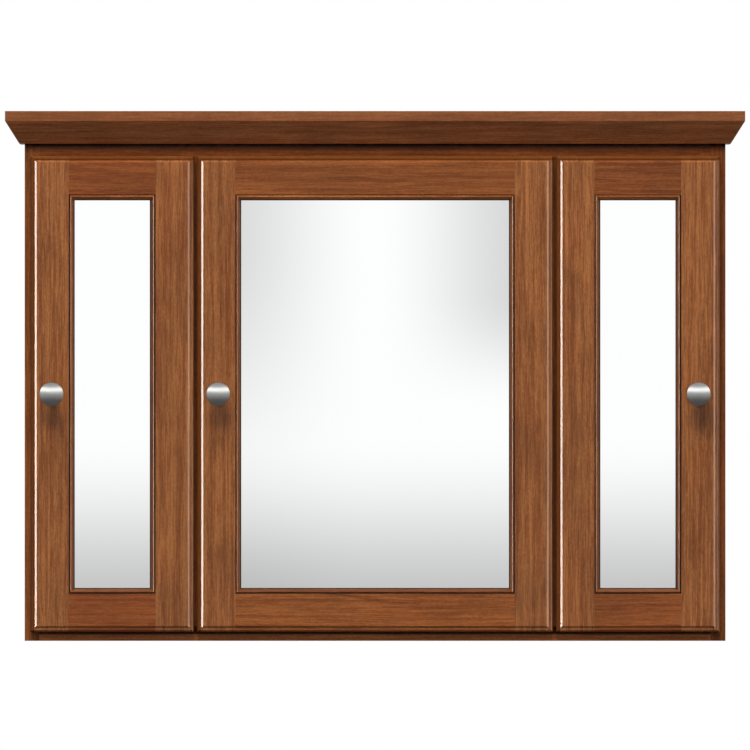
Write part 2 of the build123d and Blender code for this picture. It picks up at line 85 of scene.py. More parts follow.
# Corners closer than this are one corner.
JOIN_GAP = 0.01 * MM
# Edges of the turned and moulded pieces that turn more than this, in degrees, stay sharp.
SHARP_ANGLE = 50.0

Rgb = tuple[float, float, float]
Socket = bpy.types.NodeSocket
Feed = Union[Socket, float, Sequence[float]]
WHITE: Rgb = (1.0, 1.0, 1.0)


class GrainRun(Enum):
    """The way the wood's fibres lie in a board."""

    ACROSS = "left to right"
    DEEP = "front to back"
    UPRIGHT = "bottom to top"


class DoorEdge(Enum):
    """The four edges of a door or an opening."""

    BOTTOM = "bottom"
    RIGHT = "right"
    TOP = "top"
    LEFT = "left"


class DoorSide(Enum):
    """The three doors, by the name of their body in the frame."""

    LEFT = "left_door"
    CENTER = "center_door"
    RIGHT = "right_door"


def tone(red: int, green: int, blue: int) -> Rgb:
    """Turns a display colour into scene-linear light.

    Args:
        red: Red from 0 to 255.
        green: Green from 0 to 255.
        blue: Blue from 0 to 255.

    Returns:
        The linear colour.
    """

    def linear(value: int) -> float:
        """Undoes the display curve of one channel."""
        v = value / 255.0
        return v / 12.92 if v <= 0.04045 else ((v + 0.055) / 1.055) ** 2.4

    return linear(red), linear(green), linear(blue)


def scaled(colour: Rgb, share: float) -> Rgb:
    """A colour made lighter or darker.

    Args:
        colour: The colour, in linear light.
        share: The light it keeps, over 1 for a lighter colour.

    Returns:
        The new colour.
    """
    return tuple(share * value for value in colour)


# ---- node helpers -------------------------------------------------------------------------


@dataclass
class NodeSheet:
    """A node tree with short ways to add and join its nodes.

    Attributes:
        tree: The material's, world's or group's node tree.
    """

    tree: bpy.types.NodeTree

    def feed(self, socket: Socket, value: Feed) -> None:
        """Joins a socket to another one, or sets its plain value.

        Args:
            socket: The input.
            value: An output socket, a number, a vector or a colour.
        """
        if isinstance(value, bpy.types.NodeSocket):
            self.tree.links.new(value, socket)
        elif socket.type == "RGBA" and len(value) == 3:
            socket.default_value = (*value, 1.0)
        else:
            socket.default_value = value

    def add(
        self, kind: str, inputs: Optional[dict[Union[str, int], Feed]] = None, **settings: object
    ) -> bpy.types.Node:
        """Adds a node.

        Args:
            kind: Its type name without the leading ShaderNode.
            inputs: Values or sockets by input name or index.
            **settings: Attributes of the node.

        Returns:
            The new node.
        """
        node = self.tree.nodes.new("ShaderNode" + kind)
        for name, value in settings.items():
            setattr(node, name, value)
        for name, value in (inputs or {}).items():
            self.feed(node.inputs[name], value)
        return node

    def calc(self, operation: str, a: Feed, b: Feed = 0.0, clamp: bool = False) -> Socket:
        """A number worked out from two others."""
        return self.add("Math", {0: a, 1: b}, operation=operation, use_clamp=clamp).outputs[0]

    def times(self, a: Feed, b: Feed) -> Socket:
        """The product of two numbers."""
        return self.calc("MULTIPLY", a, b)

    def plus(self, a: Feed, b: Feed) -> Socket:
        """The sum of two numbers."""
        return self.calc("ADD", a, b)

    def minus(self, a: Feed, b: Feed) -> Socket:
        """The first number less the second."""
        return self.calc("SUBTRACT", a, b)

    def vector(self, operation: str, a: Feed, b: Feed = (0.0, 0.0, 0.0)) -> Socket:
        """A vector worked out from two others."""
        return self.add("VectorMath", {0: a, 1: b}, operation=operation).outputs[0]

    def parts(self, vector: Feed) -> Sequence[Socket]:
        """The three coordinates of a vector."""
        return self.add("SeparateXYZ", {0: vector}).outputs

    def span(
        self, value: Feed, low: float, high: float, to_low: float = 0.0, to_high: float = 1.0
    ) -> Socket:
        """A number eased from one range into another and held inside it.

        Args:
            value: The number.
            low: Where the first range starts.
            high: Where it ends.
            to_low: Where the second range starts.
            to_high: Where it ends.

        Returns:
            The eased number.
        """
        node = self.add("MapRange", interpolation_type="SMOOTHSTEP", clamp=True)
        limits = {"From Min": low, "From Max": high, "To Min": to_low, "To Max": to_high}
        for name, number in limits.items():
            node.inputs[name].default_value = number
        self.feed(node.inputs["Value"], value)
        return node.outputs["Result"]

    def blend(self, share: Feed, a: Feed, b: Feed, mode: str = "MIX") -> Socket:
        """Two colours mixed by a share.

        Args:
            share: How much of the second colour, 0 to 1.
            a: The first colour.
            b: The second colour.
            mode: Blender's name for the way they mix.

        Returns:
            The mixed colour.
        """
        node = self.add("Mix", data_type="RGBA", blend_type=mode, clamp_factor=True)
        self.feed(node.inputs[0], share)
        self.feed(node.inputs[6], a)
        self.feed(node.inputs[7], b)
        return node.outputs[2]

    def noise(self, at: Feed, scale: float, detail: float, rough: float) -> Socket:
        """Fractal noise from 0 to 1.

        Args:
            at: The place.
            scale: Cells to a metre.
            detail: How many finer octaves it has.
            rough: How strong those are.

        Returns:
            The noise.
        """
        values = {"Vector": at, "Scale": scale, "Detail": detail, "Roughness": rough}
        return self.add("TexNoise", values).outputs[0]

    def drawn_out(self, at: Feed, cells: Feed, detail: float, rough: float) -> Socket:
        """Noise with its own number of cells to a metre along each axis."""
        return self.noise(self.vector("MULTIPLY", at, cells), 1.0, detail, rough)

    def place(self) -> Socket:
        """The point being shaded, in the piece's own metres."""
        return self.add("TexCoord").outputs["Object"]

    def surface(self, shader: bpy.types.Node, colour: Feed, roughness: Feed) -> None:
        """Feeds a shader its colour and its roughness."""
        self.feed(shader.inputs["Base Color"], colour)
        self.feed(shader.inputs["Roughness"], roughness)

    def bump(self, shader: bpy.types.Node, height: Feed, strength: float, depth: float) -> None:
        """Raises a shader's surface by a height, at most by a depth in metres."""
        values = {"Height": height, "Strength": strength, "Distance": depth}
        self.feed(shader.inputs["Normal"], self.add("Bump", values).outputs[0])


FLOAT, VECTOR, COLOUR = "NodeSocketFloat", "NodeSocketVector", "NodeSocketColor"


@dataclass(frozen=True)
class EffectGroup:
    """A shader node group that several materials use, built once.

    Attributes:
        name: The group's name.
        takes: The kinds of its inputs by name.
        gives: The kinds of its outputs by name.
    """

    name: str
    takes: dict[str, str]
    gives: dict[str, str]

    def tree(self) -> bpy.types.NodeTree:
        """Draws the group's node tree on first use.

        Returns:
            The node tree.
        """
        known = bpy.data.node_groups.get(self.name)
        if known:
            return known
        tree = bpy.data.node_groups.new(self.name, "ShaderNodeTree")
        for sockets, way in ((self.takes, "INPUT"), (self.gives, "OUTPUT")):
            for name, kind in sockets.items():
                tree.interface.new_socket(name, in_out=way, socket_type=kind)
        sheet = NodeSheet(tree)
        entry = tree.nodes.new("NodeGroupInput")
        result = tree.nodes.new("NodeGroupOutput")
        given = self.draw(sheet, {name: entry.outputs[name] for name in self.takes})
        for name, socket in given.items():
            tree.links.new(socket, result.inputs[name])
        return tree

    def draw(self, sheet: NodeSheet, takes: dict[str, Socket]) -> dict[str, Socket]:
        """Draws the group's inside. Each kind of effect has its own.

        Args:
            sheet: The group's tree.
            takes: The group's inputs by name.

        Returns:
            The sockets that feed the group's outputs, by name.
        """
        raise NotImplementedError

    def use(self, sheet: NodeSheet, values: dict[str, Feed]) -> dict[str, Socket]:
        """Places the group in a material.

        Args:
            sheet: The material's tree.
            values: Values or sockets for its inputs.

        Returns:
            Its outputs by name.
        """
        node = sheet.tree.nodes.new("ShaderNodeGroup")
        node.node_tree = self.tree()
        for name, value in values.items():
            sheet.feed(node.inputs[name], value)
        return {name: node.outputs[name] for name in self.gives}


class PlainSawnGrain(EffectGroup):
    """Growth rings, fibres, pores and uneven stain of a plain-sawn board."""

    # Cells of noise to a metre across, through and along the board.
    STREAKS = (230.0, 230.0, 4.0)
    FIBRES = (760.0, 760.0, 34.0)
    PORES = (2300.0, 2300.0, 110.0)
    CLOUDS = (26.0, 26.0, 9.0)
    FLECKS = (560.0, 560.0, 230.0)
    WANDER = (4.0, 4.0, 3.4)
    BOW = (1.5, 1.5, 6.5)
    FRAY = (260.0, 260.0, 16.0)
    PATCHES = (18.0, 18.0, 6.0)

    # How far the trunk wanders across and bows through the board and its rings fray, in metres.
    WANDER_REACH = 0.05
    BOW_REACH = 0.07
    FRAY_REACH = 0.0022

    def draw(self, sheet: NodeSheet, takes: dict[str, Socket]) -> dict[str, Socket]:
        """Draws the grain. Along the third coordinate the fibres run.

        Args:
            sheet: The group's tree.
            takes: The group's inputs by name.

        Returns:
            The wood's colour, roughness and relief, by name.
        """
        at = sheet.vector("ADD", takes["Place"], takes["Board"])
        ring = self.rings(sheet, takes, at, sheet.parts(takes["Place"]))
        broad = sheet.drawn_out(at, self.STREAKS, 3.0, 0.62)
        fine = sheet.drawn_out(at, self.FIBRES, 3.0, 0.65)
        pores = sheet.span(sheet.drawn_out(at, self.PORES, 2.0, 0.5), 0.58, 0.72)
        stain = sheet.drawn_out(at, self.CLOUDS, 3.0, 0.55)
        fleck = sheet.drawn_out(at, self.FLECKS, 2.0, 0.6)

        streak = sheet.plus(sheet.times(broad, 0.48), sheet.times(fine, 0.52))
        colour = sheet.blend(sheet.span(streak, 0.39, 0.61), takes["Pale"], takes["Deep"])
        colour = sheet.blend(sheet.times(ring, takes["Figure"]), colour, takes["Vein"])
        colour = sheet.blend(sheet.times(pores, 0.30), colour, takes["Vein"])
        cloud = sheet.plus(sheet.times(stain, 0.52), sheet.times(fleck, 0.48))
        mottled = sheet.span(cloud, 0.34, 0.66, 0.78, 1.20)
        grey = sheet.add("CombineColor", {0: mottled, 1: mottled, 2: mottled}).outputs[0]
        colour = sheet.blend(1.0, colour, grey, "MULTIPLY")
        uneven = sheet.times(sheet.minus(fine, 0.5), 0.16)
        rough = sheet.plus(sheet.plus(takes["Roughness"], uneven), sheet.times(pores, 0.12))
        relief = sheet.minus(sheet.times(fine, 0.5), sheet.times(pores, 0.6))
        relief = sheet.minus(relief, sheet.times(ring, 0.2))
        return {"Colour": colour, "Roughness": rough, "Relief": relief}

    def rings(
        self, sheet: NodeSheet, takes: dict[str, Socket], at: Socket, parts: Sequence[Socket]
    ) -> Socket:
        """Draws the growth rings of a wandering trunk, cut lengthwise by the board.

        Args:
            sheet: The group's tree.
            takes: The group's inputs by name.
            at: The place, moved to the board's own part of the noise.
            parts: The place's coordinates across, through and along the board.

        Returns:
            A mask, 1 on the dense late wood of a strong ring.
        """
        wander = sheet.minus(sheet.drawn_out(at, self.WANDER, 2.0, 0.45), 0.5)
        bow = sheet.minus(sheet.drawn_out(at, self.BOW, 2.0, 0.45), 0.5)
        across = sheet.plus(parts[0], takes["Heart across"])
        across = sheet.plus(across, sheet.times(wander, self.WANDER_REACH))
        lean = sheet.times(parts[2], takes["Lean"])
        depth = sheet.plus(sheet.plus(parts[1], takes["Heart depth"]), lean)
        depth = sheet.plus(depth, sheet.times(bow, self.BOW_REACH))
        square = sheet.plus(sheet.times(across, across), sheet.times(depth, depth))
        fray = sheet.drawn_out(at, self.FRAY, 3.0, 0.6)
        radius = sheet.plus(sheet.calc("SQRT", square), sheet.times(fray, self.FRAY_REACH))
        years = sheet.calc("DIVIDE", radius, takes["Ring"])
        seasons = sheet.add("CombineXYZ", {0: years, 1: takes["Lean"]}).outputs[0]
        years = sheet.plus(years, sheet.times(sheet.noise(seasons, 0.45, 2.0, 0.5), 2.6))
        turn = sheet.calc("FRACT", years)
        whole = sheet.calc("FLOOR", years)
        year = sheet.add("TexWhiteNoise", {"W": whole}, noise_dimensions="1D").outputs[0]
        line = sheet.times(sheet.span(turn, 0.42, 0.90), sheet.span(turn, 0.93, 1.0, 1.0, 0.0))
        line = sheet.times(line, sheet.span(year, 0.25, 0.95, 0.10, 1.0))
        patch = sheet.drawn_out(at, self.PATCHES, 2.0, 0.5)
        return sheet.times(line, sheet.span(patch, 0.36, 0.62, 0.15, 1.0))


class GlazeAndShadeBands(EffectGroup):
    """Bands of painted shade along the edges of a rectangle, seen from the front; on the doors'
    moulded edges partly real glaze.
    """

    def draw(self, sheet: NodeSheet, takes: dict[str, Socket]) -> dict[str, Socket]:
        """Draws a band inside each side of the rectangle, as strong as that side asks.

        Args:
            sheet: The group's tree.
            takes: The group's inputs by name.

        Returns:
            The mask of the painted shade and glaze, by name.
        """
        names = ("Place", "Low", "High", "Sides", "Ends")
        place, low, high, sides, ends = (sheet.parts(takes[name]) for name in names)
        mask = None
        for share, gap in (
            (sides[0], sheet.minus(place[0], low[0])),
            (sides[1], sheet.minus(high[0], place[0])),
            (ends[0], sheet.minus(place[2], low[2])),
            (ends[1], sheet.minus(high[2], place[2])),
        ):
            inside = sheet.minus(takes["Reach"], gap)
            band = sheet.calc("DIVIDE", inside, takes["Fade"], clamp=True)
            band = sheet.times(band, share)
            mask = band if mask is None else sheet.calc("MAXIMUM", mask, band)
        front = sheet.calc("DIVIDE", sheet.minus(high[1], place[1]), takes["Fade"], clamp=True)
        mask = sheet.times(mask, front)
        # Noise breaks the painted shade bands into patches.
        patchy = sheet.noise(takes["Place"], 90.0, 3.0, 0.6)
        return {"Mask": sheet.times(mask, sheet.span(patchy, 0.3, 0.6, 0.86, 1.0))}


class HandlingMarks(EffectGroup):
    """Faint smears and dust that vary the gloss of a hard, smooth surface."""

    def draw(self, sheet: NodeSheet, takes: dict[str, Socket]) -> dict[str, Socket]:
        """Draws the smears as soft noise and the dust as small specks.

        Args:
            sheet: The group's tree.
            takes: The group's inputs by name.

        Returns:
            The smeared roughness and a mask of the dust, by name.
        """
        smear = sheet.span(sheet.noise(takes["Place"], 16.0, 4.0, 0.6), 0.42, 0.72)
        speck = sheet.noise(takes["Place"], 900.0, 2.0, 0.5)
        rough = sheet.plus(sheet.times(smear, takes["Smear"]), takes["Roughness"])
        return {"Roughness": rough, "Dust": sheet.span(speck, 0.62, 0.74)}


class BrushedLines(EffectGroup):
    """Fine parallel scratches of a brushed metal, round a centre or along a line."""

    def draw(self, sheet: NodeSheet, takes: dict[str, Socket]) -> dict[str, Socket]:
        """Draws the scratches from a place that is stretched along them.

        Args:
            sheet: The group's tree.
            takes: The group's inputs by name.

        Returns:
            The metal's colour, roughness and relief, by name.
        """
        lines = sheet.noise(takes["Place"], 1.0, 4.0, 0.7)
        depth = sheet.times(sheet.minus(lines, 0.5), takes["Depth"])
        rough = sheet.plus(takes["Roughness"], sheet.times(depth, 0.5))
        shade = sheet.span(lines, 0.3, 0.7, 0.90, 1.06)
        grey = sheet.add("CombineColor", {0: shade, 1: shade, 2: shade}).outputs[0]
        colour = sheet.blend(1.0, takes["Metal"], grey, "MULTIPLY")
        return {"Colour": colour, "Roughness": rough, "Relief": lines}


GRAIN = PlainSawnGrain(
    "plain_sawn_grain",
    dict.fromkeys(("Place", "Board"), VECTOR)
    | dict.fromkeys(("Pale", "Deep", "Vein"), COLOUR)
    | dict.fromkeys(("Figure", "Ring", "Heart across", "Heart depth", "Lean", "Roughness"), FLOAT),
    {"Colour": COLOUR, "Roughness": FLOAT, "Relief": FLOAT},
)
GLAZE_AND_SHADE_BANDS = GlazeAndShadeBands(
    "gathered_stain",
    dict.fromkeys(("Place", "Low", "High", "Sides", "Ends"), VECTOR)
    | dict.fromkeys(("Reach", "Fade"), FLOAT),
    {"Mask": FLOAT},
)
MARKS = HandlingMarks(
    "handling_marks",
    {"Place": VECTOR, "Smear": FLOAT, "Roughness": FLOAT},
    {"Roughness": FLOAT, "Dust": FLOAT},
)
BRUSHED = BrushedLines(
    "brushed_lines",
    {"Place": VECTOR, "Metal": COLOUR, "Depth": FLOAT, "Roughness": FLOAT},
    {"Colour": COLOUR, "Roughness": FLOAT, "Relief": FLOAT},
)


def new_material(name: str) -> tuple[bpy.types.Material, NodeSheet, bpy.types.Node]:
    """Starts a material with a plain Principled shader.

    Args:
        name: The material's name.

    Returns:
        The material, its sheet and its Principled node.
    """
    material = bpy.data.materials.new(name)
    material.use_nodes = True
    material.node_tree.nodes.clear()
    sheet = NodeSheet(material.node_tree)
    shader = sheet.add("BsdfPrincipled")
    sheet.add("OutputMaterial", {0: shader.outputs[0]})
    return material, sheet, shader


# ---- finishes -----------------------------------------------------------------------------


@dataclass(frozen=True)
class GlazeAndShade:
    """Where painted shade darkens a board; on the doors' moulded edges also real glaze.

    Attributes:
        low: Lowest corner of the rectangle whose sides hold the painted shade.
        high: Its highest corner, whose y is how far back the painted shade reaches.
        sides: How strong the painted shade is along its left and right sides, 0 to 1.
        ends: How strong along its bottom and top.
        reach: Width of the bands in metres.
        fade: Width over which they fade in metres.
    """

    low: Vector
    high: Vector
    sides: tuple[float, float] = (0.0, 0.0)
    ends: tuple[float, float] = (0.0, 0.0)
    reach: float = 5.0 * MM
    fade: float = 0.6 * MM

    def mask(self, sheet: NodeSheet) -> Socket:
        """Places the mask of the painted shade in a material.

        Args:
            sheet: The material's tree.

        Returns:
            The mask, 1 where the painted shade is full.
        """
        values = {
            "Place": sheet.place(),
            "Low": self.low,
            "High": self.high,
            "Sides": (*self.sides, 0.0),
            "Ends": (*self.ends, 0.0),
            "Reach": self.reach,
            "Fade": self.fade,
        }
        return GLAZE_AND_SHADE_BANDS.use(sheet, values)["Mask"]


@dataclass(frozen=True)
class StainedWood:
    """Stained, satin-lacquered wood of one board.

    Attributes:
        name: The material's name.
        run: The way the fibres lie.
        seed: Picks the board's own figure.
        pale: Colour of the soft wood.
        deep: Colour of the dense streaks.
        vein: Colour of the dark ring lines.
        figure: Strength of the ring lines, 0 to 1.
        ring: Distance between rings in metres.
        lean: How far the board tips out of line with the trunk.
        roughness: Roughness of the lacquer.
        coat: Weight of its clear coat.
        glaze_and_shade: Where painted shade darkens the board, with real glaze only in the doors'
            moulded edges, if anywhere.
        glaze_and_shade_tone: Colour of that painted shade and glaze.
    """

    name: str
    run: GrainRun
    seed: int
    pale: Rgb
    deep: Rgb
    vein: Rgb
    figure: float = 0.5
    ring: float = 0.0065
    lean: float = 0.03
    roughness: float = 0.44
    coat: float = 0.6
    glaze_and_shade: Optional[GlazeAndShade] = None
    glaze_and_shade_tone: Rgb = tone(92, 47, 15)

    def build(self) -> bpy.types.Material:
        """Builds the board's material.

        Returns:
            The material.
        """
        material, sheet, shader = new_material(self.name)
        chance = random.Random(self.seed)
        parts = sheet.parts(sheet.place())
        order = {
            GrainRun.ACROSS: (2, 1, 0),
            GrainRun.DEEP: (0, 2, 1),
            GrainRun.UPRIGHT: (0, 1, 2),
        }[self.run]
        place = sheet.add("CombineXYZ", {i: parts[k] for i, k in enumerate(order)}).outputs[0]
        grain = GRAIN.use(
            sheet,
            {
                "Place": place,
                "Board": tuple(chance.uniform(-20.0, 20.0) for _ in range(3)),
                "Pale": self.pale,
                "Deep": self.deep,
                "Vein": self.vein,
                "Figure": self.figure,
                "Ring": self.ring,
                "Heart across": chance.uniform(-0.05, 0.05),
                "Heart depth": chance.choice((-1.0, 1.0)) * chance.uniform(0.05, 0.12) + 0.15,
                "Lean": chance.choice((-1.0, 1.0)) * self.lean,
                "Roughness": self.roughness,
            },
        )
        colour, rough, coat = grain["Colour"], grain["Roughness"], self.coat
        # The bands darken the colour as painted shade, with real glaze only in the doors' moulded
        # edges, and dull the lacquer there.
        if self.glaze_and_shade:
            mask = self.glaze_and_shade.mask(sheet)
            colour = sheet.blend(mask, colour, self.glaze_and_shade_tone)
            rough = sheet.plus(rough, sheet.times(mask, 0.25))
            coat = sheet.span(mask, 0.3, 0.75, self.coat, 0.0)
        sheet.surface(shader, colour, rough)
        sheet.feed(shader.inputs["Coat Weight"], coat)
        sheet.bump(shader, grain["Relief"], 0.25, 0.12 * MM)
        shader.inputs["Coat Roughness"].default_value = 0.12
        shader.inputs["Specular IOR Level"].default_value = 0.06
        return material


@dataclass(frozen=True)
class SilveredMirror:
    """Silvered float glass with a trace of smears and dust.

    Attributes:
        name: The material's name.
        silver: Colour of the silvering.
        dust: Colour of the dust.
        dullness: How much a speck of dust hides.
        smear: How much rougher the smears are.
        roughness: Roughness of the clean glass.
    """

    name: str = "silvered_mirror"
    silver: Rgb = (0.97, 0.975, 0.975)
    dust: Rgb = (0.62, 0.62, 0.60)
    dullness: float = 0.04
    smear: float = 0.010
    roughness: float = 0.004

    def build(self) -> bpy.types.Material:
        """Builds the mirror's material.

        Returns:
            The material.
        """
        material, sheet, shader = new_material(self.name)
        values = {"Place": sheet.place(), "Smear": self.smear, "Roughness": self.roughness}
        marks = MARKS.use(sheet, values)
        dulled = sheet.times(marks["Dust"], self.dullness)
        sheet.surface(shader, sheet.blend(dulled, self.silver, self.dust), marks["Roughness"])
        shader.inputs["Metallic"].default_value = 1.0
        return material


@dataclass(frozen=True)
class BrushedMetal:
    """A metal with fine parallel scratches, smears and dust.

    Attributes:
        name: The material's name.
        metal: Its colour.
        roughness: Roughness between the scratches.
        depth: How much the scratches change the roughness.
        smear: How much rougher the smears are.
        relief: Strength of the scratches' bump.
    """

    name: str
    metal: Rgb
    roughness: float
    depth: float
    smear: float
    relief: float

    def stretched(self, sheet: NodeSheet) -> Socket:
        """The place, drawn out along the scratches. Each metal has its own."""
        raise NotImplementedError

    def build(self) -> bpy.types.Material:
        """Builds the metal's material.

        Returns:
            The material.
        """
        material, sheet, shader = new_material(self.name)
        values = {"Metal": self.metal, "Depth": self.depth, "Roughness": self.roughness}
        lines = BRUSHED.use(sheet, {"Place": self.stretched(sheet)} | values)
        values = {"Place": sheet.place(), "Smear": self.smear, "Roughness": lines["Roughness"]}
        sheet.surface(shader, lines["Colour"], MARKS.use(sheet, values)["Roughness"])
        sheet.bump(shader, lines["Relief"], self.relief, 0.03 * MM)
        shader.inputs["Metallic"].default_value = 1.0
        return material


@dataclass(frozen=True)
class BrushedNickel(BrushedMetal):
    """Satin nickel, brushed in rings round a knob's stem."""

    name: str = "brushed_nickel"
    metal: Rgb = (0.60, 0.595, 0.575)
    roughness: float = 0.26
    depth: float = 0.12
    smear: float = 0.05
    relief: float = 0.12

    def stretched(self, sheet: NodeSheet) -> Socket:
        """The place as distance from the stem and along it, with a slow turn.

        Args:
            sheet: The material's tree.

        Returns:
            The drawn-out place.
        """
        parts = sheet.parts(sheet.place())
        from_stem = sheet.add("CombineXYZ", {0: parts[0], 1: parts[2], 2: 0.0}).outputs[0]
        reach = sheet.add("VectorMath", {0: from_stem}, operation="LENGTH").outputs["Value"]
        rings = {0: (reach, 5200.0), 1: (parts[1], 3800.0), 2: (parts[0], 40.0)}
        stretched = {axis: sheet.times(*pair) for axis, pair in rings.items()}
        return sheet.add("CombineXYZ", stretched).outputs[0]


@dataclass(frozen=True)
class PlatedSteel(BrushedMetal):
    """Pressed steel with bright nickel plating, faintly rolled along one way."""

    name: str = "plated_steel"
    metal: Rgb = (0.66, 0.655, 0.63)
    roughness: float = 0.20
    depth: float = 0.10
    smear: float = 0.12
    relief: float = 0.15

    def stretched(self, sheet: NodeSheet) -> Socket:
        """The place, drawn out across the cabinet's height."""
        return sheet.vector("MULTIPLY", sheet.place(), (3000.0, 160.0, 3000.0))


@dataclass(frozen=True)
class PressedBoard:
    """Brown hardboard: matt, fibrous and speckled.

    Attributes:
        name: The material's name.
        light: Colour of its pale fibres.
        dark: Colour of its dark fibres.
    """

    name: str = "hardboard"
    light: Rgb = tone(126, 92, 62)
    dark: Rgb = tone(96, 66, 42)

    def build(self) -> bpy.types.Material:
        """Builds the board's material.

        Returns:
            The material.
        """
        material, sheet, shader = new_material(self.name)
        place = sheet.place()
        fibre = sheet.drawn_out(place, (700.0, 700.0, 260.0), 4.0, 0.65)
        cloud = sheet.noise(place, 22.0, 3.0, 0.5)
        share = sheet.plus(sheet.times(fibre, 0.7), sheet.times(cloud, 0.3))
        colour = sheet.blend(sheet.span(share, 0.35, 0.65), self.light, self.dark)
        sheet.surface(shader, colour, sheet.span(fibre, 0.3, 0.7, 0.62, 0.82))
        sheet.bump(shader, fibre, 0.35, 0.2 * MM)
        return material


@dataclass(frozen=True)
class SoftBumper:
    """Clear soft polymer of the door bumpers, slightly clouded.

    Attributes:
        name: The material's name.
        dull: Colour of its clouds.
        bright: Colour between them.
    """

    name: str = "soft_bumper"
    dull: Rgb = tone(214, 212, 204)
    bright: Rgb = tone(232, 232, 228)

    def build(self) -> bpy.types.Material:
        """Builds the bumpers' material.

        Returns:
            The material.
        """
        material, sheet, shader = new_material(self.name)
        cloud = sheet.noise(sheet.place(), 260.0, 3.0, 0.5)
        colour = sheet.blend(sheet.span(cloud, 0.35, 0.65), self.dull, self.bright)
        sheet.surface(shader, colour, sheet.span(cloud, 0.3, 0.7, 0.28, 0.42))
        shader.inputs["Subsurface Weight"].default_value = 0.4
        shader.inputs["Subsurface Radius"].default_value = (2 * MM, 2 * MM, 2 * MM)
        return material


# ---- piece helpers ------------------------------------------------------------------------


def dress(node: bpy.types.Object, material: bpy.types.Material) -> None:
    """Gives a piece of the frame its material.

    Args:
        node: The piece.
        material: Its finish.
    """
    for held in node.material_slots:
        held.link = "OBJECT"
        held.material = material


def ease_edges(node: bpy.types.Object, width: float, angle: float = 35.0) -> None:
    """Breaks a board's sharp edges so that they catch the light.

    Args:
        node: The board.
        width: Width of the rounding in metres.
        angle: Angle in degrees over which an edge is broken.
    """
    weld = node.modifiers.new("join corners", "WELD")
    weld.merge_threshold = JOIN_GAP
    bevel = node.modifiers.new("eased edges", "BEVEL")
    bevel.width = width
    bevel.segments = 2
    bevel.limit_method = "ANGLE"
    bevel.angle_limit = math.radians(angle)
    bevel.use_clamp_overlap = True
    smooth = node.modifiers.new("even shading", "WEIGHTED_NORMAL")
    smooth.keep_sharp = False
    smooth.weight = 90


def mesh_piece(name: str, shape: bmesh.types.BMesh) -> bpy.types.Object:
    """Turns a drawn shape into a piece in the scene.

    Args:
        name: The piece's name.
        shape: The shape, freed afterwards.

    Returns:
        The new piece.
    """
    mesh = bpy.data.meshes.new(name)
    bmesh.ops.recalc_face_normals(shape, faces=shape.faces)
    shape.to_mesh(mesh)
    shape.free()
    mesh.shade_smooth()
    mesh.set_sharp_from_angle(angle=math.radians(SHARP_ANGLE))
    piece = bpy.data.objects.new(name, mesh)
    bpy.context.scene.collection.objects.link(piece)
    return piece


# ---- crown --------------------------------------------------------------------------------


@dataclass
class Crown:
    """The mitred moulding round the top of the case.

    Attributes:
        nodes: The frame's pieces by name.
        edge: Width of its eased edges in metres.
        crease: Angle in degrees over which its edges are eased.
        pale: Colour of the soft wood.
        deep: Colour of its dense streaks.
        vein: Colour of its ring lines.
        fascia: Height of the upright band at its top in metres.
        fascia_share: How strong the painted shade on that band is, 0 to 1, darkening it against the
            bevel below.
        fascia_tone: Colour of that painted shade.
    """

    nodes: dict[str, bpy.types.Object]
    fascia: float = 13.2 * MM
    fascia_share: float = 0.57
    fascia_tone: Rgb = tone(93, 54, 31)
    edge: float = 0.3 * MM
    crease: float = 18.0
    pale: Rgb = tone(172, 106, 64)
    deep: Rgb = tone(144, 80, 40)
    vein: Rgb = tone(112, 54, 22)

    def fascia_shade(self) -> GlazeAndShade:
        """Painted shade on the upright band round the crown's top, darkening it against the bevel
        below.

        Returns:
            The band.
        """
        low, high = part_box("crown_front")
        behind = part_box("crown_left_return")[1].y + self.fascia
        corner = Vector((high.x, behind, high.z))
        # Only the top band, the fascia, gets this painted shade.
        return GlazeAndShade(low, corner, ends=(0.0, self.fascia_share), reach=self.fascia, fade=0.3 * MM)

    def build(self) -> None:
        """Dresses the three lengths with the grain running along each."""
        runs = {
            "crown_front": GrainRun.ACROSS,
            "crown_left_return": GrainRun.DEEP,
            "crown_right_return": GrainRun.DEEP,
        }
        for seed, (name, run) in enumerate(runs.items(), start=40):
            wood = StainedWood(
                f"wood_{name}",
                run,
                seed,
                self.pale,
                self.deep,
                self.vein,
                figure=0.45,
                ring=0.009,
                glaze_and_shade=self.fascia_shade(),
                glaze_and_shade_tone=self.fascia_tone,
            )
            dress(self.nodes[name], wood.build())
            ease_edges(self.nodes[name], self.edge, angle=self.crease)
            LOG.info("crown: %s dressed", name)


# ---- case ---------------------------------------------------------------------------------


SHELVES = tuple(
    f"{bay}_{level}_shelf" for bay in ("left", "center", "right") for level in ("lower", "upper")
)


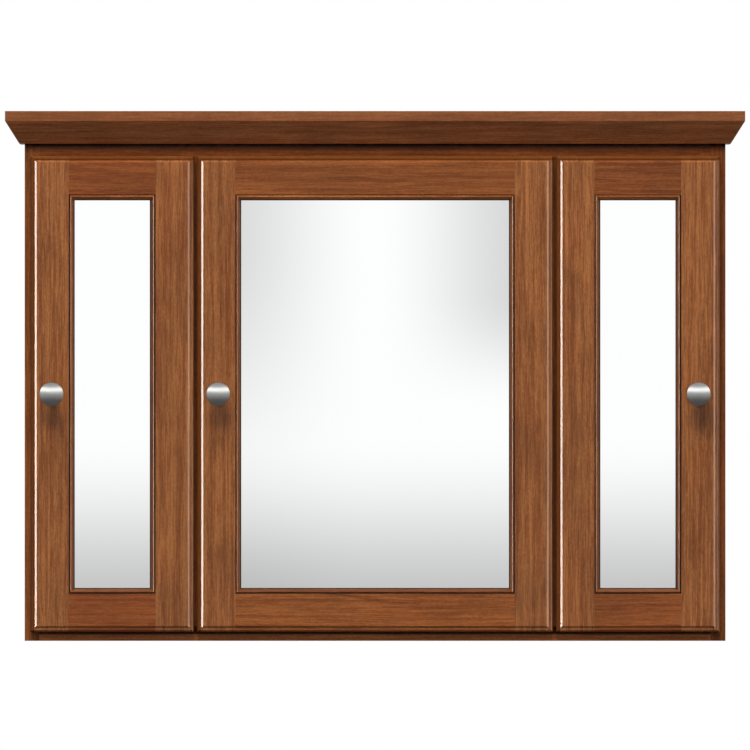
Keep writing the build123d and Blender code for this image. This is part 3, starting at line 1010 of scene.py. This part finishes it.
@dataclass
class Case:
    """The carcass: sides, partitions, panels, rails, back, shelves and their pins.

    Attributes:
        nodes: The frame's pieces by name.
        edge: Width of its eased edges in metres.
        pale: Colour of the soft wood.
        deep: Colour of its dense streaks.
        vein: Colour of its ring lines.
        coat: Weight of the clear coat.
        glaze_and_shade_tone: Colour of the painted shade under the crown and under the doors.
        shade_band_depth: How far back from the case's front that painted shade reaches.
        runs: The way the fibres lie in each board.
        painted_light_tones: Soft wood and streaks of boards made paler or darker as painted light
            and shade: the bottom panel paler in the doors' shadow, the left side panel paler than
            the right, the top rail darker under the crown.
    """

    nodes: dict[str, bpy.types.Object]
    edge: float = 0.4 * MM
    pale: Rgb = tone(138, 77, 36)
    deep: Rgb = tone(110, 55, 19)
    vein: Rgb = tone(76, 32, 9)
    coat: float = 0.15
    # Near black: the colour of the painted shade under the crown and the doors.
    glaze_and_shade_tone: Rgb = tone(20, 6, 2)
    shade_band_depth: float = 8.0 * MM
    runs: dict[str, GrainRun] = field(
        default_factory=lambda: {
            "left_side_panel": GrainRun.UPRIGHT,
            "right_side_panel": GrainRun.UPRIGHT,
            "left_partition": GrainRun.UPRIGHT,
            "right_partition": GrainRun.UPRIGHT,
            "bottom_panel": GrainRun.ACROSS,
            "top_panel": GrainRun.ACROSS,
            "top_rail": GrainRun.ACROSS,
            "upper_hanging_rail": GrainRun.ACROSS,
            "lower_hanging_rail": GrainRun.ACROSS,
            "back_panel": GrainRun.UPRIGHT,
        }
        | dict.fromkeys(SHELVES, GrainRun.ACROSS)
    )
    painted_light_tones: dict[str, tuple[Rgb, Rgb]] = field(
        default_factory=lambda: {
            # Painted light and shade: bottom panel paler against the doors' shadow, left side paler
            # than the right, top rail darker under the crown.
            "left_side_panel": (tone(148, 87, 46), tone(119, 64, 26)),
            "top_rail": (tone(136, 74, 31), tone(108, 52, 14)),
            "bottom_panel": (tone(190, 114, 60), tone(162, 90, 40)),
        }
    )

    def shade_bands(self) -> dict[str, GlazeAndShade]:
        """Painted shade: under the crown, and on the ledge under the doors.

        Returns:
            The bands by the name of the board they are on.
        """
        low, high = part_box("top_rail")
        back = low.y + self.shade_band_depth
        under_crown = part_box("crown_front")[0].z
        under_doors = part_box(f"{DoorSide.CENTER.value}_bottom_rail")[0].z
        # A dark band of painted shade on the boards just under the crown.
        corner = GlazeAndShade(
            low, Vector((high.x, back, under_crown)), ends=(0.0, 1.0), reach=8.5 * MM, fade=6.5 * MM
        )
        # A dark band of painted shade on the bottom panel just under the doors.
        ledge = GlazeAndShade(
            low, Vector((high.x, back, under_doors)), ends=(0.0, 0.9), reach=4.4 * MM, fade=2.6 * MM
        )
        names = ("top_rail", "left_side_panel", "right_side_panel")
        return dict.fromkeys(names, corner) | {"bottom_panel": ledge}

    def build(self) -> None:
        """Dresses every board, then the bumpers."""
        shade_bands = self.shade_bands()
        for seed, (name, run) in enumerate(self.runs.items(), start=10):
            pale, deep = self.painted_light_tones.get(name, (self.pale, self.deep))
            wood = StainedWood(
                f"wood_{name}",
                run,
                seed,
                pale,
                deep,
                self.vein,
                figure=0.5,
                coat=self.coat,
                glaze_and_shade=shade_bands.get(name),
                glaze_and_shade_tone=self.glaze_and_shade_tone,
            )
            dress(self.nodes[name], wood.build())
            if name not in ("back_panel", "upper_hanging_rail", "lower_hanging_rail"):
                ease_edges(self.nodes[name], self.edge)
            LOG.info("case: %s dressed", name)
        dress(self.nodes["door_bumpers"], SoftBumper().build())


# ---- doors --------------------------------------------------------------------------------


@dataclass
class MirrorBead:
    """The moulded bead that holds a mirror in its frame, in four mitred sticks.

    Attributes:
        crest: How far its crest stands behind the face in metres.
        pale: Colour of its soft wood.
        deep: Colour of its dense streaks.
        vein: Colour of its ring lines.
        hollow_glaze_and_shade: Colour of its hollows, near black: painted shade in the quirk and
            beside the mirror, with some glaze.
        strength: Painted light and shade on the bottom, right, top and left sticks: how much
            lighter or darker each is made, the top lightest and the bottom darkest.
        coats: Weight of the clear coat on the same sticks.
    """

    crest: float = 0.2 * MM
    pale: Rgb = tone(150, 90, 46)
    deep: Rgb = tone(122, 64, 26)
    vein: Rgb = tone(92, 40, 14)
    hollow_glaze_and_shade: Rgb = tone(24, 9, 3)
    strength: tuple[float, float, float, float] = (0.52, 0.62, 1.7, 0.85)
    coats: tuple[float, float, float, float] = (0.5, 0.36, 0.5, 0.6)

    def finishes(self) -> list[bpy.types.Material]:
        """Builds the finishes of its four sticks and of its hollows, for all the doors.

        Returns:
            The bottom, right, top and left sticks' finishes, then the hollows'.
        """
        runs = {
            DoorEdge.BOTTOM: GrainRun.ACROSS,
            DoorEdge.RIGHT: GrainRun.UPRIGHT,
            DoorEdge.TOP: GrainRun.ACROSS,
            DoorEdge.LEFT: GrainRun.UPRIGHT,
        }
        made = []
        sticks = zip(runs.items(), self.strength, self.coats)
        for seed, ((edge, run), share, coat) in enumerate(sticks, start=90):
            # Each stick is a lighter or darker copy of one wood, as painted light and shade for the
            # way the light falls on it.
            tones = [scaled(shade, share) for shade in (self.pale, self.deep, self.vein)]
            name = f"wood_bead_{edge.value}"
            made.append(StainedWood(name, run, seed, *tones, figure=0.3, coat=coat).build())
        # The hollows' finish is near-black painted shade, with some glaze.
        tones = [self.hollow_glaze_and_shade] * 3
        hollow = StainedWood("wood_bead_hollow", GrainRun.UPRIGHT, 95, *tones, coat=0.0)
        return made + [hollow.build()]

    def section(self) -> list[tuple[float, float, bool]]:
        """The outline: distance in, depth, and whether the hollows' painted shade and glaze cover
        it from there on.

        Returns:
            Points from the frame's edge to the mirror.
        """
        # Points marked True get the hollow finish: painted shade in the quirk and along the lip by
        # the mirror.
        quirk = [(0.0, 0.6, True), (0.15, 1.5, True), (1.1, 1.75, True), (1.3, 1.35, False)]
        crest = []
        for step in range(9):
            turn = math.radians(170.0 - 102.0 * step / 8)
            crest.append((2.1 + 0.75 * math.cos(turn), 0.95 - 0.75 * math.sin(turn), False))
        slope = [(3.75, 0.80, False), (4.05, 1.25, False), (4.6, 2.2, False), (5.3, 3.2, False)]
        lip = [(6.0, 4.0, False), (6.4, 4.4, True), (6.9, 4.9, True), (7.2, 5.5, True)]
        lip += [(7.45, 6.6, True), (7.55, 7.9, True)]
        points = quirk + crest + slope + lip
        return [(inward * MM, deep * MM, darkened) for inward, deep, darkened in points]

    def build(
        self, name: str, low: Vector, high: Vector, finishes: Sequence[bpy.types.Material]
    ) -> bpy.types.Object:
        """Builds the four sticks.

        Args:
            name: The piece's name.
            low: Lowest corner of the bead's outer edge, its y at the bead's crest.
            high: Highest corner.
            finishes: Finish of the bottom, right, top and left sticks, and of the hollows.

        Returns:
            The piece.
        """
        shape = bmesh.new()
        section = self.section()
        face_y = low.y - self.crest
        hollow = len(finishes) - 1

        def corner(step: int, inward: float, deep: float) -> Vector:
            """One of the four mitre points at a place in the section.

            Args:
                step: Which corner, from the bottom left one round.
                inward: Distance in from the outer edge in metres.
                deep: Depth behind the face in metres.

            Returns:
                The point.
            """
            x = low.x + inward if step in (0, 3) else high.x - inward
            z = low.z + inward if step in (0, 1) else high.z - inward
            return Vector((x, face_y + deep, z))

        for side in range(4):
            rows = [
                [shape.verts.new(corner(end % 4, inward, deep)) for end in (side, side + 1)]
                for inward, deep, _ in section
            ]
            for index in range(len(rows) - 1):
                (a, b), (c, d) = rows[index], rows[index + 1]
                face = shape.faces.new((a, b, d, c))
                face.material_index = hollow if section[index][2] else side
        piece = mesh_piece(name, shape)
        for finish in finishes:
            piece.data.materials.append(finish)
        return piece


@dataclass
class Knob:
    """A turned mushroom knob.

    Attributes:
        segments: Facets round its stem.
    """

    segments: int = 96

    def outline(self) -> list[tuple[float, float]]:
        """The turned outline as (radius, height over the door) in metres, from base to crown.

        Returns:
            The points of the outline.
        """
        stem = [(0.0, 0.0), (6.9, 0.0), (7.0, 0.25), (7.0, 1.3), (6.8, 1.6), (6.2, 1.9)]
        neck = [(5.6, 2.7), (5.1, 4.0), (4.9, 6.0), (4.95, 8.0), (5.3, 9.6), (6.2, 11.1)]
        underside = [(7.6, 12.2), (9.4, 13.1), (11.6, 13.9), (13.4, 14.6), (14.5, 15.2)]
        rim = [(15.1, 15.8), (15.4, 16.4), (15.5, 17.0), (15.35, 17.6), (14.9, 18.2)]
        half, rise, top, steps = 14.4, 4.2, 22.6, 24
        dome_radius = (14.6**2 + rise**2) / (2 * rise)
        dome = []
        for step in range(1, steps + 1):
            radius = half * (1 - step / steps)
            dome.append((radius, top - dome_radius + math.sqrt(dome_radius**2 - radius**2)))
        points = stem + neck + underside + rim + dome
        return [(radius * MM, height * MM) for radius, height in points]

    def build(self, name: str, centre: Vector) -> bpy.types.Object:
        """Turns the knob.

        Args:
            name: The piece's name.
            centre: Where its stem meets the door.

        Returns:
            The piece.
        """
        shape = bmesh.new()
        line = [shape.verts.new((radius, -height, 0.0)) for radius, height in self.outline()]
        edges = [shape.edges.new(pair) for pair in zip(line, line[1:])]
        bmesh.ops.spin(
            shape,
            geom=line + edges,
            axis=(0.0, 1.0, 0.0),
            cent=(0.0, 0.0, 0.0),
            angle=math.tau,
            steps=self.segments,
            use_duplicate=False,
        )
        bmesh.ops.remove_doubles(shape, verts=shape.verts, dist=JOIN_GAP)
        piece = mesh_piece(name, shape)
        piece.location = centre
        return piece


@dataclass
class MirrorDoor:
    """One framed mirror door with its bead, knob and hinge cups.

    Attributes:
        side: Which door.
        nodes: The frame's pieces by name.
        seed: Start of the seeds of its boards.
        rail_pale: Colour of the soft wood of its rails.
        rail_deep: Colour of their dense streaks.
        bottom_share: How much lighter the bottom rail is made, as painted light where the key light
            falls off down the door.
        top_share: How much darker the top rail is made, as painted shade against the stronger key
            light there.
        stile_pale: Colour of the soft wood of its stiles.
        stile_deep: Colour of their dense streaks.
        vein: Colour of the ring lines.
        edge: Width of its eased edges in metres.
        arris_angle: Angle in degrees over which its edges are eased.
        shade_band_depth: How far back from its face the glaze and painted shade reach in metres.
    """

    side: DoorSide
    nodes: dict[str, bpy.types.Object]
    seed: int
    rail_pale: Rgb
    rail_deep: Rgb
    bottom_share: float = 1.09
    top_share: float = 0.94
    stile_pale: Rgb = tone(154, 96, 50)
    stile_deep: Rgb = tone(118, 63, 26)
    vein: Rgb = tone(86, 36, 10)
    edge: float = 0.2 * MM
    arris_angle: float = 18.0
    shade_band_depth: float = 25.0 * MM

    def node(self, part: str) -> bpy.types.Object:
        """The frame's piece of this door with that name."""
        return self.nodes[f"{self.side.value}_{part}"]

    def edge_glaze_and_shade(self) -> GlazeAndShade:
        """Glaze in the door's rounded edge, with painted shade that makes it darkest on the left
        and top edges.

        Returns:
            The bands round the whole door.
        """
        low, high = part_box(f"{self.side.value}_left_stile")
        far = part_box(f"{self.side.value}_right_stile")[1]
        corner = Vector((far.x, low.y + self.shade_band_depth, high.z))
        # Uneven shares: painted shade, strong on the left and top, faint on the right and bottom.
        return GlazeAndShade(low, corner, sides=(0.95, 0.3), ends=(0.1, 0.9), reach=5.3 * MM)

    def frame_members(self) -> None:
        """Dresses the stiles and the rails."""
        glaze_and_shade = self.edge_glaze_and_shade()
        stile_tones = (self.stile_pale, self.stile_deep)
        rail_tones = (self.rail_pale, self.rail_deep)
        members = {
            "left_stile": stile_tones,
            "right_stile": stile_tones,
            # Bottom rail paler and top rail darker: painted light and shade that even out the fall
            # of the key light down the door.
            "bottom_rail": [scaled(colour, self.bottom_share) for colour in rail_tones],
            "top_rail": [scaled(colour, self.top_share) for colour in rail_tones],
        }
        for offset, (part, tones) in enumerate(members.items()):
            stile = part.endswith("stile")
            wood = StainedWood(
                f"wood_{self.side.value}_{part}",
                GrainRun.UPRIGHT if stile else GrainRun.ACROSS,
                self.seed + offset,
                *tones,
                self.vein,
                figure=0.45 if stile else 0.6,
                ring=0.006 if stile else 0.008,
                lean=0.02 if stile else 0.06,
                glaze_and_shade=glaze_and_shade,
            )
            dress(self.node(part), wood.build())
            ease_edges(self.node(part), self.edge, angle=self.arris_angle)
            LOG.info("%s: %s dressed", self.side.value, part)

    def stand_in(self, piece: bpy.types.Object, part: str) -> None:
        """Puts a finer piece in the place of one of the door's own.

        Args:
            piece: The finer piece.
            part: The part it replaces.
        """
        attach(piece, self.side.value)
        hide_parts(f"{self.side.value}_{part}")
        LOG.info("%s: %s built", self.side.value, part)

    def bead(self, finishes: Sequence[bpy.types.Material]) -> None:
        """Builds the bead round the mirror.

        Args:
            finishes: Finish of its bottom, right, top and left sticks, and of its hollows.
        """
        low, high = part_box(f"{self.side.value}_mirror_bead")
        piece = MirrorBead().build(f"{self.side.value}_bead", low, high, finishes)
        self.stand_in(piece, "mirror_bead")

    def knob(self, nickel: bpy.types.Material) -> None:
        """Builds the knob.

        Args:
            nickel: Its finish.
        """
        low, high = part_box(f"{self.side.value}_knob")
        middle = (low + high) / 2
        foot = Vector((middle.x, high.y, middle.z))
        piece = Knob().build(f"{self.side.value}_turned_knob", foot)
        piece.data.materials.append(nickel)
        self.stand_in(piece, "knob")

    def build(
        self, shared: dict[str, bpy.types.Material], bead_finishes: Sequence[bpy.types.Material]
    ) -> None:
        """Builds and dresses the whole door.

        Args:
            shared: The finishes that all doors share, by name.
            bead_finishes: The finishes of the bead's four sticks and its hollows.
        """
        self.frame_members()
        self.bead(bead_finishes)
        self.knob(shared["nickel"])
        dress(self.node("mirror"), shared["mirror"])
        dress(self.node("backer"), shared["hardboard"])
        for part in ("backer_clips", "hinge_cups", "hinge_links", "screws"):
            dress(self.node(part), shared["steel"])
        LOG.info("%s: mirror, backer and hardware dressed", self.side.value)


# ---- studio -------------------------------------------------------------------------------


@dataclass(frozen=True)
class SoftBox:
    """A rectangular light that faces the cabinet.

    Attributes:
        name: The light's name.
        bearing: Degrees to the right of straight ahead, and degrees up.
        size: Its width and height in metres.
        power: Its power in watts.
        colour: Its colour.
        reach: Its distance in metres.
    """

    name: str
    bearing: tuple[float, float]
    size: tuple[float, float]
    power: float
    colour: Rgb = WHITE
    reach: float = 8.0

    def hang(self, middle: Vector) -> bpy.types.Object:
        """Hangs the light.

        Args:
            middle: The point it faces.

        Returns:
            The light.
        """
        turn, rise = (math.radians(angle) for angle in self.bearing)
        level = math.cos(rise)
        way = Vector((math.sin(turn) * level, -math.cos(turn) * level, math.sin(rise)))
        data = bpy.data.lights.new(self.name, "AREA")
        data.shape, data.energy, data.color = "RECTANGLE", self.power, self.colour
        data.size, data.size_y = self.size
        light = bpy.data.objects.new(self.name, data)
        light.location = middle + way * self.reach
        light.rotation_euler = (-way).to_track_quat("-Z", "Y").to_euler()
        light.visible_camera = False
        bpy.context.scene.collection.objects.link(light)
        return light


def shine_only_on(light: bpy.types.Object, name: str, lit: Sequence[bpy.types.Object]) -> None:
    """Lets a light reach only some pieces.

    Args:
        light: The light or glowing card.
        name: A name for the group of pieces.
        lit: The pieces it reaches.
    """
    group = bpy.data.collections.new(name)
    for piece in lit:
        group.objects.link(piece)
    light.light_linking.receiver_collection = group


@dataclass
class Studio:
    """Camera, lights, reflection card and floor round the cabinet.

    Attributes:
        low: Lowest corner of the cabinet.
        high: Highest corner.
        wooden: The pieces whose edges the strips draw.
        mirrored: The mirrors.
        lens: Focal length in millimetres, long so that the doors stay square.
        sensor: Width of the sensor in millimetres.
        margin: Width of the view over the cabinet's width.
        aim_shift: How far the aim lies right of and over the cabinet's middle in metres.
        floor_drop: How far the floor lies under the cabinet in metres.
        card_size: Width and height of the reflection card in metres.
        card_gap: How far it stands in front of the doors in metres.
        soft: The lights that give the pieces their shade.
        strips: The lights that draw the edges.
    """

    low: Vector
    high: Vector
    wooden: Sequence[bpy.types.Object]
    mirrored: Sequence[bpy.types.Object]
    lens: float = 1200.0
    sensor: float = 36.0
    margin: float = 1.01326
    aim_shift: tuple[float, float] = (-0.1 * MM, 1.35 * MM)
    floor_drop: float = 0.75
    card_size: tuple[float, float] = (1.6, 1.3)
    card_gap: float = 1.6
    soft: tuple[SoftBox, ...] = (
        SoftBox("key", (-14.0, 64.0), (4.6, 3.4), 1060.0),
        SoftBox("fill", (4.0, 4.0), (6.0, 3.0), 105.0),
    )
    strips: tuple[SoftBox, ...] = (
        SoftBox("left strip", (-43.6, 2.0), (1.3, 5.6), 780.0, (1.0, 0.92, 0.85)),
        SoftBox("right strip", (43.6, 2.0), (1.6, 5.2), 200.0, (1.0, 0.82, 0.66)),
    )

    @property
    def middle(self) -> Vector:
        """The middle of the cabinet."""
        return (self.low + self.high) / 2

    def camera(self) -> None:
        """Stands a long-lens camera square to the doors."""
        width = (self.high.x - self.low.x) * self.margin
        distance = width * self.lens / self.sensor
        data = bpy.data.cameras.new("camera")
        data.lens, data.sensor_width, data.sensor_fit = self.lens, self.sensor, "HORIZONTAL"
        data.clip_start, data.clip_end = 0.1, 100.0
        camera = bpy.data.objects.new("camera", data)
        camera.location = (
            self.middle.x + self.aim_shift[0],
            self.low.y + 0.02 - distance,
            self.middle.z + self.aim_shift[1],
        )
        camera.rotation_euler = (math.radians(90.0), 0.0, 0.0)
        bpy.context.scene.collection.objects.link(camera)
        bpy.context.scene.camera = camera

    def lights(self) -> None:
        """Hangs the key above, the fill in front and the strips that draw the edges."""
        for box in self.soft:
            box.hang(self.middle).visible_glossy = False
        for box in self.strips:
            strip = box.hang(self.middle)
            strip.visible_diffuse = False
            shine_only_on(strip, f"lit by {box.name}", self.wooden)

    def card_glow(self, sheet: NodeSheet) -> Socket:
        """How bright the card is: less at its foot, with a grey patch in each upper corner.

        Args:
            sheet: The card's tree.

        Returns:
            The strength of its glow.
        """
        place = sheet.parts(sheet.add("NewGeometry").outputs["Position"])
        height = sheet.minus(place[2], self.middle.z)
        across = sheet.minus(place[0], self.middle.x)
        falling = sheet.span(height, -0.34, -0.08, 0.10, 0.58)
        left = sheet.span(across, -0.22, 0.0, 0.30, 0.0)
        left = sheet.times(left, sheet.span(height, -0.16, 0.2, 0.2, 1.0))
        right = sheet.span(across, 0.0, 0.22, 0.0, 0.33)
        right = sheet.times(right, sheet.span(height, -0.05, 0.12))
        central = sheet.span(sheet.calc("ABSOLUTE", across), 0.2, 0.26, 1.0, 0.0)
        return sheet.minus(falling, sheet.times(sheet.plus(left, right), central))

    def card(self) -> None:
        """Stands a graded clear glowing card in front that only the mirrors see."""
        bpy.ops.mesh.primitive_grid_add(x_subdivisions=4, y_subdivisions=4, size=1.0)
        card = bpy.context.active_object
        card.name = "reflection_card"
        card.scale = (*self.card_size, 1.0)
        card.rotation_euler = (math.radians(90.0), 0.0, 0.0)
        card.location = (self.middle.x, self.low.y - self.card_gap, self.middle.z)
        card.visible_camera = card.visible_diffuse = card.visible_shadow = False
        material = bpy.data.materials.new("reflection_card")
        material.use_nodes = True
        material.node_tree.nodes.clear()
        sheet = NodeSheet(material.node_tree)
        glow = sheet.add("Emission", {"Strength": self.card_glow(sheet), "Color": WHITE})
        clear = sheet.add("BsdfTransparent")
        both = sheet.add("AddShader", {0: glow.outputs[0], 1: clear.outputs[0]})
        sheet.add("OutputMaterial", {0: both.outputs[0]})
        card.data.materials.append(material)
        card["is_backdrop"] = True
        shine_only_on(card, "seen in the mirrors", self.mirrored)

    def floor(self) -> None:
        """Lays a plain pale floor well under the cabinet."""
        bpy.ops.mesh.primitive_grid_add(x_subdivisions=2, y_subdivisions=2, size=60.0)
        floor = bpy.context.active_object
        floor.name = "studio_floor"
        floor.location = (0.0, 0.0, self.low.z - self.floor_drop)
        floor.visible_glossy = floor.visible_diffuse = False
        material, sheet, shader = new_material("studio_floor")
        cloud = sheet.noise(sheet.place(), 3.0, 3.0, 0.5)
        sheet.surface(shader, sheet.blend(cloud, (0.80, 0.80, 0.80), (0.84, 0.84, 0.84)), 0.8)
        sheet.feed(shader.inputs["Emission Color"], WHITE)
        shader.inputs["Emission Strength"].default_value = 0.4
        output = next(node for node in sheet.tree.nodes if node.type == "OUTPUT_MATERIAL")
        clear = sheet.add("BsdfTransparent")
        back = sheet.add("NewGeometry").outputs["Backfacing"]
        both = sheet.add("MixShader", {0: back, 1: shader.outputs[0], 2: clear.outputs[0]})
        sheet.feed(output.inputs[0], both.outputs[0])
        floor.data.materials.append(material)
        floor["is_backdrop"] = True

    def surroundings(self) -> None:
        """Sets a white backdrop, and softer surroundings for light and reflections."""
        world = bpy.data.worlds.new("studio")
        world.use_nodes = True
        world.node_tree.nodes.clear()
        sheet = NodeSheet(world.node_tree)
        height = sheet.parts(sheet.add("TexCoord").outputs["Generated"])[2]
        rising = sheet.span(height, -0.55, 0.05, 0.10, 0.44)
        band = sheet.times(sheet.span(height, 0.14, 0.36), sheet.span(height, 0.42, 0.66, 1.0, 0.0))
        strength = sheet.plus(rising, sheet.times(band, 1.9))
        path = sheet.add("LightPath").outputs
        soft = sheet.minus(1.0, sheet.times(path["Is Diffuse Ray"], 0.82))
        strength = sheet.times(strength, soft)
        around = sheet.add("Background", {"Color": WHITE, "Strength": strength}).outputs[0]
        behind = sheet.add("Background", {"Color": WHITE, "Strength": 1.0}).outputs[0]
        both = sheet.add("MixShader", {0: path["Is Camera Ray"], 1: around, 2: behind})
        sheet.add("OutputWorld", {0: both.outputs[0]})
        bpy.context.scene.world = world
        bpy.context.scene.view_settings.view_transform = "Standard"

    def build(self) -> None:
        """Sets up the whole studio."""
        self.camera()
        self.lights()
        self.card()
        self.floor()
        self.surroundings()
        LOG.info("studio: camera, lights, card, floor and surroundings set")


# ---- the whole cabinet --------------------------------------------------------------------


def build_cabinet(nodes: dict[str, bpy.types.Object]) -> None:
    """Builds and dresses every sub-assembly.

    Args:
        nodes: The frame's pieces by name.
    """
    shared = {
        "nickel": BrushedNickel().build(),
        "steel": PlatedSteel().build(),
        "mirror": SilveredMirror().build(),
        "hardboard": PressedBoard().build(),
    }
    bead_finishes = MirrorBead().finishes()
    Crown(nodes).build()
    Case(nodes).build()
    for name in ("shelf_pins", "hinge_mounting_plates", "hinge_arms", "hinge_screws"):
        dress(nodes[name], shared["steel"])
    rails = {
        DoorSide.LEFT: (tone(134, 72, 28), tone(106, 50, 14)),
        DoorSide.CENTER: (tone(145, 83, 36), tone(115, 58, 18)),
        DoorSide.RIGHT: (tone(138, 76, 31), tone(109, 53, 16)),
    }
    for seed, (side, (pale, deep)) in enumerate(rails.items(), start=6):
        MirrorDoor(side, nodes, seed * 10, pale, deep).build(shared, bead_finishes)


def finish_of(piece: bpy.types.Object) -> str:
    """The name of a piece's first finish."""
    return piece.material_slots[0].material.name if piece.material_slots else ""


def main() -> None:
    """Loads the frame, builds the looks round it and sets up the studio."""
    logging.basicConfig(level=logging.INFO, format="%(name)s: %(message)s")
    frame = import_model()
    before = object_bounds()
    build_cabinet(frame["nodes"])
    shown = [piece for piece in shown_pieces() if piece.type == "MESH"]
    unlit = ("_side_panel", "_return")  # their broad sides would mirror a strip
    wooden = [
        piece
        for piece in shown
        if finish_of(piece).startswith("wood_") and not finish_of(piece).endswith(unlit)
    ]
    mirrored = [piece for piece in shown if finish_of(piece) == SilveredMirror.name]
    Studio(*before, wooden=wooden, mirrored=mirrored).build()


if __name__ == "__main__":
    main()
